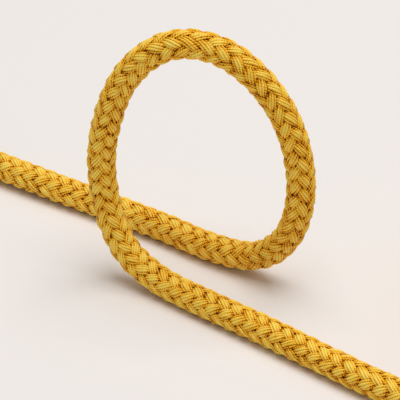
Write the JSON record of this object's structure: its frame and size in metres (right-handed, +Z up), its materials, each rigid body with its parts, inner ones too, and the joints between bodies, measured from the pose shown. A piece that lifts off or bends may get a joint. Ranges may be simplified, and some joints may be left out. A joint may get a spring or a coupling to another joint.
{
  "type": "dynamic climbing rope",
  "caption": "Braided kernmantle climbing rope with sealed ends, laid down with a standing loop and wound into a flat coil.",
  "frame": {"origin": "on the floor, under the middle of the whole rope's box", "axes": "+Z up, +X to the right of the picture and -Y towards its camera"},
  "size_m": [0.324, 0.1986, 0.0984],
  "materials": {
    "sheath": "braided polyamide yarn, golden yellow",
    "core": "twisted white polyamide strands",
    "identity_tape": "thin blank plastic tape",
    "melted_seal": "melted and hardened polyamide",
    "end_sleeve": "blank black shrink tube"
  },
  "bodies": {
    "root": {"tail_sheath": "sheath", "tail_seal": "melted_seal", "tail_sleeve": "end_sleeve", "tail_tape": "identity_tape", "tail_core_strand_1": "core", "tail_core_strand_2": "core", "tail_core_strand_3": "core", "tail_core_strand_4": "core", "tail_core_strand_5": "core", "tail_core_strand_6": "core", "tail_core_strand_7": "core", "coil_end_sheath": "sheath", "coil_end_seal": "melted_seal", "coil_end_sleeve": "end_sleeve", "coil_end_tape": "identity_tape", "coil_end_core_strand_1": "core", "coil_end_core_strand_2": "core", "coil_end_core_strand_3": "core", "coil_end_core_strand_4": "core", "coil_end_core_strand_5": "core", "coil_end_core_strand_6": "core", "coil_end_core_strand_7": "core", "rope_loop": "sheath", "rope_coil": "sheath"}
  },
  "joints": []
}
